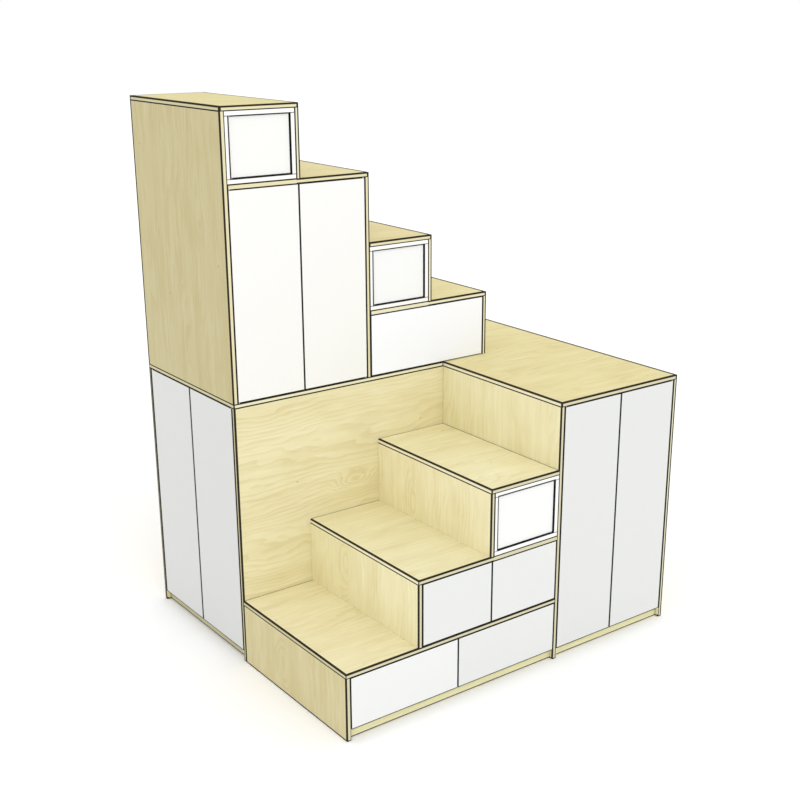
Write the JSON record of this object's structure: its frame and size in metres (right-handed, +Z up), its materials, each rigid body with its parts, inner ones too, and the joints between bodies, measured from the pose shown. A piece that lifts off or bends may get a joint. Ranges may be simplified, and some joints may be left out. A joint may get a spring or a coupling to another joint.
{
  "type": "step chest",
  "caption": "Plywood storage stair that turns back on itself at a landing, with inset white drawers and cupboard doors under its treads.",
  "frame": {"origin": "middle of the footprint's bounding rectangle, on the floor", "axes": "+X to the right along the front of the lower flight, +Y towards the back, +Z up"},
  "size_m": [1.5054, 1.336, 2],
  "materials": {
    "maple_plywood": "clear matt varnish on pale maple-faced plywood",
    "white_laminate": "satin white laminate on black-dyed fibreboard",
    "white_lacquer": "satin white lacquer on board",
    "drawer_plywood": "clear matt varnish on birch plywood",
    "runner_beech": "planed beech",
    "hinge_steel": "zinc-plated steel",
    "catch_plastic": "moulded white plastic"
  },
  "bodies": {
    "carcass": {"step1_left_side": "maple_plywood", "step1_tread": "maple_plywood", "step2_left_side": "maple_plywood", "step2_tread": "maple_plywood", "step3_left_side": "maple_plywood", "step3_tread": "maple_plywood", "rear_cabinet_front_side": "maple_plywood", "rear_cabinet_back_side": "maple_plywood", "rear_cabinet_top": "maple_plywood", "landing_left_side": "maple_plywood", "landing_right_side": "maple_plywood", "landing_top": "maple_plywood", "landing_partition": "maple_plywood", "upper_left_side": "maple_plywood", "step5_tread": "maple_plywood", "step5_right_side": "maple_plywood", "step6_tread": "maple_plywood", "step6_right_side": "maple_plywood", "step7_tread": "maple_plywood", "step7_right_side": "maple_plywood", "step8_tread": "maple_plywood", "step8_right_side": "maple_plywood", "white_liners": "white_lacquer", "base_floors": "maple_plywood", "plinths": "maple_plywood", "drawer_dividers": "maple_plywood", "shelves": "maple_plywood", "back_panels": "drawer_plywood", "drawer_runners_and_stops": "runner_beech", "fixed_hinge_leaves": "hinge_steel", "toe_pivot_brackets": "hinge_steel", "push_catches": "catch_plastic"},
    "step1_left_drawer": {"step1_left_drawer_front": "white_laminate", "step1_left_drawer_box": "drawer_plywood"},
    "step1_right_drawer": {"step1_right_drawer_front": "white_laminate", "step1_right_drawer_box": "drawer_plywood"},
    "step2_left_drawer": {"step2_left_drawer_front": "white_laminate", "step2_left_drawer_box": "drawer_plywood"},
    "step2_right_drawer": {"step2_right_drawer_front": "white_laminate", "step2_right_drawer_box": "drawer_plywood"},
    "step5_drawer": {"step5_drawer_front": "white_laminate", "step5_drawer_box": "drawer_plywood"},
    "step3_door": {"step3_door": "white_laminate", "step3_door_fittings": "hinge_steel"},
    "step6_door": {"step6_door": "white_laminate", "step6_door_fittings": "hinge_steel"},
    "step8_door": {"step8_door": "white_laminate", "step8_door_fittings": "hinge_steel"},
    "landing_left_door": {"landing_left_door": "white_laminate", "landing_left_door_fittings": "hinge_steel"},
    "landing_right_door": {"landing_right_door": "white_laminate", "landing_right_door_fittings": "hinge_steel"},
    "rear_cabinet_near_door": {"rear_cabinet_near_door": "white_laminate", "rear_cabinet_near_door_fittings": "hinge_steel"},
    "rear_cabinet_far_door": {"rear_cabinet_far_door": "white_laminate", "rear_cabinet_far_door_fittings": "hinge_steel"},
    "upper_left_door": {"upper_left_door": "white_laminate", "upper_left_door_fittings": "hinge_steel"},
    "upper_right_door": {"upper_right_door": "white_laminate", "upper_right_door_fittings": "hinge_steel"}
  },
  "joints": [
    {"name": "step1_left_drawer_slide", "type": "slide", "parent": "carcass", "child": "step1_left_drawer", "axis": [0, -1, 0], "range_m": [0, 0.45]},
    {"name": "step1_right_drawer_slide", "type": "slide", "parent": "carcass", "child": "step1_right_drawer", "axis": [0, -1, 0], "range_m": [0, 0.45]},
    {"name": "step2_left_drawer_slide", "type": "slide", "parent": "carcass", "child": "step2_left_drawer", "axis": [0, -1, 0], "range_m": [0, 0.45]},
    {"name": "step2_right_drawer_slide", "type": "slide", "parent": "carcass", "child": "step2_right_drawer", "axis": [0, -1, 0], "range_m": [0, 0.45]},
    {"name": "step5_drawer_slide", "type": "slide", "parent": "carcass", "child": "step5_drawer", "axis": [0, -1, 0], "range_m": [0, 0.45]},
    {"name": "step3_door_hinge", "type": "hinge", "parent": "carcass", "child": "step3_door", "pos_m": [0.14275, -0.658, 0.617], "axis": [0, 0, 1], "range_deg": [0, 90]},
    {"name": "step6_door_hinge", "type": "hinge", "parent": "carcass", "child": "step6_door", "pos_m": [-0.15075, 0.01, 1.367], "axis": [0, 0, -1], "range_deg": [0, 90]},
    {"name": "step8_door_hinge", "type": "hinge", "parent": "carcass", "child": "step8_door", "pos_m": [-0.71375, 0.01, 1.867], "axis": [0, 0, -1], "range_deg": [0, 90]},
    {"name": "landing_left_door_hinge", "type": "hinge", "parent": "carcass", "child": "landing_left_door", "pos_m": [0.18875, -0.664, 0.5105], "axis": [0, 0, -1], "range_deg": [0, 90]},
    {"name": "landing_right_door_hinge", "type": "hinge", "parent": "carcass", "child": "landing_right_door", "pos_m": [0.72975, -0.664, 0.5105], "axis": [0, 0, 1], "range_deg": [0, 90]},
    {"name": "rear_cabinet_near_door_hinge", "type": "hinge", "parent": "carcass", "child": "rear_cabinet_near_door", "pos_m": [-0.74875, 0.023, 0.5105], "axis": [0, 0, 1], "range_deg": [0, 90]},
    {"name": "rear_cabinet_far_door_hinge", "type": "hinge", "parent": "carcass", "child": "rear_cabinet_far_door", "pos_m": [-0.74875, 0.645, 0.5105], "axis": [0, 0, -1], "range_deg": [0, 90]},
    {"name": "upper_left_door_hinge", "type": "hinge", "parent": "carcass", "child": "upper_left_door", "pos_m": [-0.72975, 0.004, 1.367], "axis": [0, 0, -1], "range_deg": [0, 90]},
    {"name": "upper_right_door_hinge", "type": "hinge", "parent": "carcass", "child": "upper_right_door", "pos_m": [-0.19675, 0.004, 1.367], "axis": [0, 0, 1], "range_deg": [0, 90]}
  ]
}
